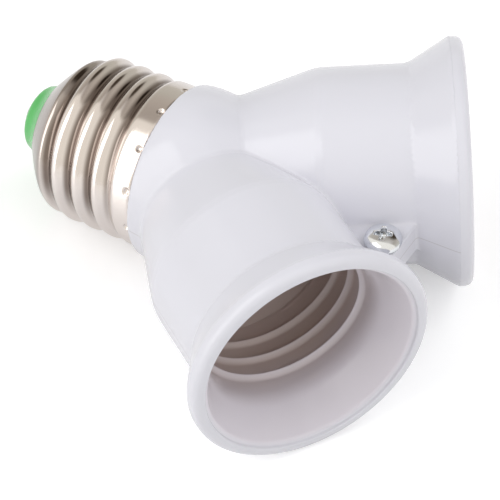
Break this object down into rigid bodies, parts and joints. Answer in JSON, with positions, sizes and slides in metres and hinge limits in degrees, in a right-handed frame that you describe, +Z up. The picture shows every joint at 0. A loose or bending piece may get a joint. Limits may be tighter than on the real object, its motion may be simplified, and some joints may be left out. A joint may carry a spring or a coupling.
{
  "type": "lamp socket adapter",
  "caption": "Y-shaped adapter that screws into a lamp socket and feeds two lamp sockets set side by side.",
  "frame": {"origin": "on the table, under the middle of the adapter as it lies on both socket rims and the screw thread", "axes": "+X from the screw base towards the sockets, +Z up, with the head of the housing screw upwards, +Y towards the left socket"},
  "size_m": [0.0747, 0.0768, 0.0379],
  "materials": {
    "white_plastic": "glossy",
    "nickel_plate": "polished nickel",
    "green_insulator": "glossy",
    "contact_metal": "satin",
    "chrome_screw": "polished",
    "brown_laminate": "matt",
    "strip_brass": "satin",
    "brown_lead": "matt",
    "blue_lead": "matt"
  },
  "bodies": {
    "root": {"upper_housing": "white_plastic", "lower_housing": "white_plastic", "screw_shell": "nickel_plate", "base_insulator": "green_insulator", "base_contact": "contact_metal", "housing_screw": "chrome_screw", "housing_nut": "chrome_screw", "left_contact_plate": "brown_laminate", "right_contact_plate": "brown_laminate", "left_centre_contact": "strip_brass", "right_centre_contact": "strip_brass", "left_side_contact": "strip_brass", "right_side_contact": "strip_brass", "live_link": "strip_brass", "neutral_link": "strip_brass", "live_lead": "brown_lead", "neutral_lead": "blue_lead"}
  },
  "joints": []
}
